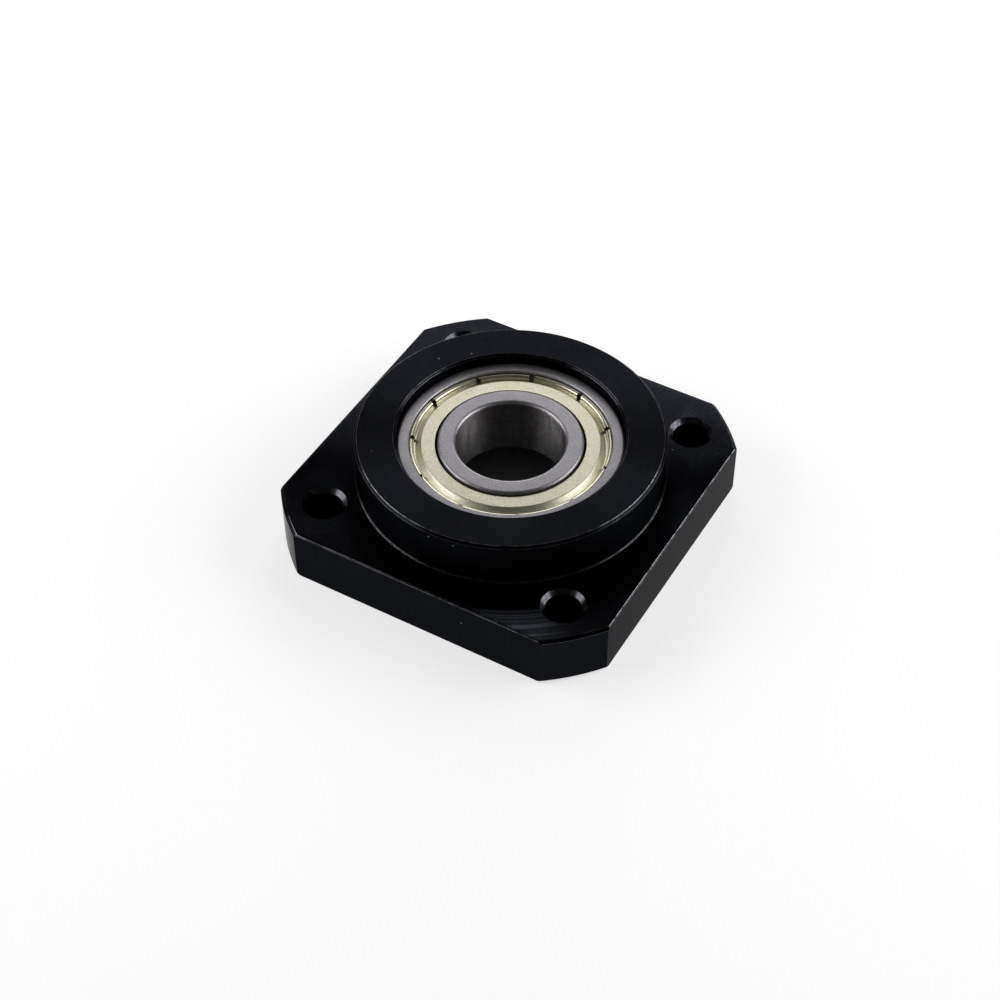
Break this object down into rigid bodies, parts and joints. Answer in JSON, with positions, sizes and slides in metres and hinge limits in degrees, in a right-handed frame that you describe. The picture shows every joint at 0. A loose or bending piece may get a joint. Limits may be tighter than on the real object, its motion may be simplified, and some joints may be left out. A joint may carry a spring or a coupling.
{
  "type": "flanged ball screw end support",
  "caption": "Square flanged housing with a round pilot boss, counterbored screw holes in its corners and a shielded ball bearing for a ball screw's floating end.",
  "frame": {"origin": "on the screw's axis, in the flange's back face", "axes": "+Z along the screw's axis towards the pilot boss; X and Y square to the flange's sides"},
  "size_m": [0.068, 0.068, 0.02],
  "materials": {
    "black_oxide_steel": "satin black oxide over turned and milled steel",
    "bearing_steel": "ground",
    "zinc_plated_shield": "pressed sheet with pale yellow zinc plating",
    "cage_strip": "pressed strip",
    "ball_steel": "lapped"
  },
  "bodies": {
    "housing_body": {"housing": "black_oxide_steel", "outer_ring": "bearing_steel", "front_shield": "zinc_plated_shield", "rear_shield": "zinc_plated_shield"},
    "inner_ring_body": {"inner_ring": "bearing_steel"},
    "cage_body": {"front_cage": "cage_strip", "rear_cage": "cage_strip", "cage_rivets": "cage_strip"},
    "ball_1_body": {"ball_1": "ball_steel"},
    "ball_2_body": {"ball_2": "ball_steel"},
    "ball_3_body": {"ball_3": "ball_steel"},
    "ball_4_body": {"ball_4": "ball_steel"},
    "ball_5_body": {"ball_5": "ball_steel"},
    "ball_6_body": {"ball_6": "ball_steel"},
    "ball_7_body": {"ball_7": "ball_steel"},
    "ball_8_body": {"ball_8": "ball_steel"},
    "ball_9_body": {"ball_9": "ball_steel"}
  },
  "joints": [
    {"name": "inner_ring_spin", "type": "hinge", "parent": "housing_body", "child": "inner_ring_body", "pos_m": [0, 0, 0.012], "axis": [0, 0, 1], "continuous": true},
    {"name": "cage_orbit", "type": "hinge", "parent": "housing_body", "child": "cage_body", "pos_m": [0, 0, 0.012], "axis": [0, 0, 1], "continuous": true},
    {"name": "ball_1_spin", "type": "hinge", "parent": "cage_body", "child": "ball_1_body", "pos_m": [0.0155, 0, 0.012], "axis": [0, 0, 1], "continuous": true},
    {"name": "ball_2_spin", "type": "hinge", "parent": "cage_body", "child": "ball_2_body", "pos_m": [0.01187, 0.00996, 0.012], "axis": [0, 0, 1], "continuous": true},
    {"name": "ball_3_spin", "type": "hinge", "parent": "cage_body", "child": "ball_3_body", "pos_m": [0.00269, 0.01526, 0.012], "axis": [0, 0, 1], "continuous": true},
    {"name": "ball_4_spin", "type": "hinge", "parent": "cage_body", "child": "ball_4_body", "pos_m": [-0.00775, 0.01342, 0.012], "axis": [0, 0, 1], "continuous": true},
    {"name": "ball_5_spin", "type": "hinge", "parent": "cage_body", "child": "ball_5_body", "pos_m": [-0.01457, 0.0053, 0.012], "axis": [0, 0, 1], "continuous": true},
    {"name": "ball_6_spin", "type": "hinge", "parent": "cage_body", "child": "ball_6_body", "pos_m": [-0.01457, -0.0053, 0.012], "axis": [0, 0, 1], "continuous": true},
    {"name": "ball_7_spin", "type": "hinge", "parent": "cage_body", "child": "ball_7_body", "pos_m": [-0.00775, -0.01342, 0.012], "axis": [0, 0, 1], "continuous": true},
    {"name": "ball_8_spin", "type": "hinge", "parent": "cage_body", "child": "ball_8_body", "pos_m": [0.00269, -0.01526, 0.012], "axis": [0, 0, 1], "continuous": true},
    {"name": "ball_9_spin", "type": "hinge", "parent": "cage_body", "child": "ball_9_body", "pos_m": [0.01187, -0.00996, 0.012], "axis": [0, 0, 1], "continuous": true}
  ],
  "couplings": [
    {"joint": "cage_orbit", "follows": "inner_ring_spin", "ratio": 0.39758},
    {"joint": "ball_1_spin", "follows": "inner_ring_spin", "ratio": -2.3385},
    {"joint": "ball_2_spin", "follows": "inner_ring_spin", "ratio": -2.3385},
    {"joint": "ball_3_spin", "follows": "inner_ring_spin", "ratio": -2.3385},
    {"joint": "ball_4_spin", "follows": "inner_ring_spin", "ratio": -2.3385},
    {"joint": "ball_5_spin", "follows": "inner_ring_spin", "ratio": -2.3385},
    {"joint": "ball_6_spin", "follows": "inner_ring_spin", "ratio": -2.3385},
    {"joint": "ball_7_spin", "follows": "inner_ring_spin", "ratio": -2.3385},
    {"joint": "ball_8_spin", "follows": "inner_ring_spin", "ratio": -2.3385},
    {"joint": "ball_9_spin", "follows": "inner_ring_spin", "ratio": -2.3385}
  ]
}
